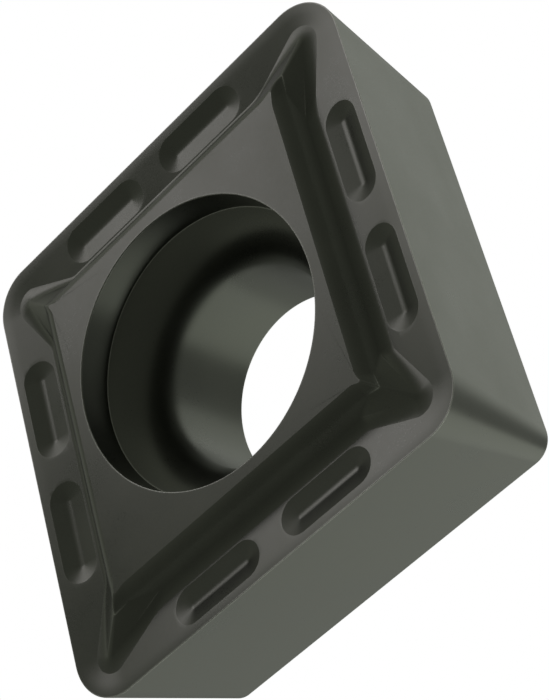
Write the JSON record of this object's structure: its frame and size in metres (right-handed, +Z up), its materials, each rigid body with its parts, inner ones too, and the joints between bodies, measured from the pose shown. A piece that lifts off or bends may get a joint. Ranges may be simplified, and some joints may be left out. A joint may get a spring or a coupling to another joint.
{
  "type": "carbide turning insert",
  "caption": "Rhombic indexable carbide insert with tapered flanks, dimpled chip-breaker land, raised plateau with ribbed corners and a countersunk screw hole.",
  "frame": {"origin": "centre of the flat bottom seating face, on the axis of the screw hole", "axes": "+Z up out of the seating face along the screw hole, +X towards a sharp (acute) corner, +Y towards a blunt (obtuse) corner"},
  "size_m": [0.0184, 0.0158, 0.0056],
  "materials": {
    "carbide": "satin, dark green-grey sintered carbide"
  },
  "bodies": {
    "root": {"insert": "carbide"}
  },
  "joints": []
}
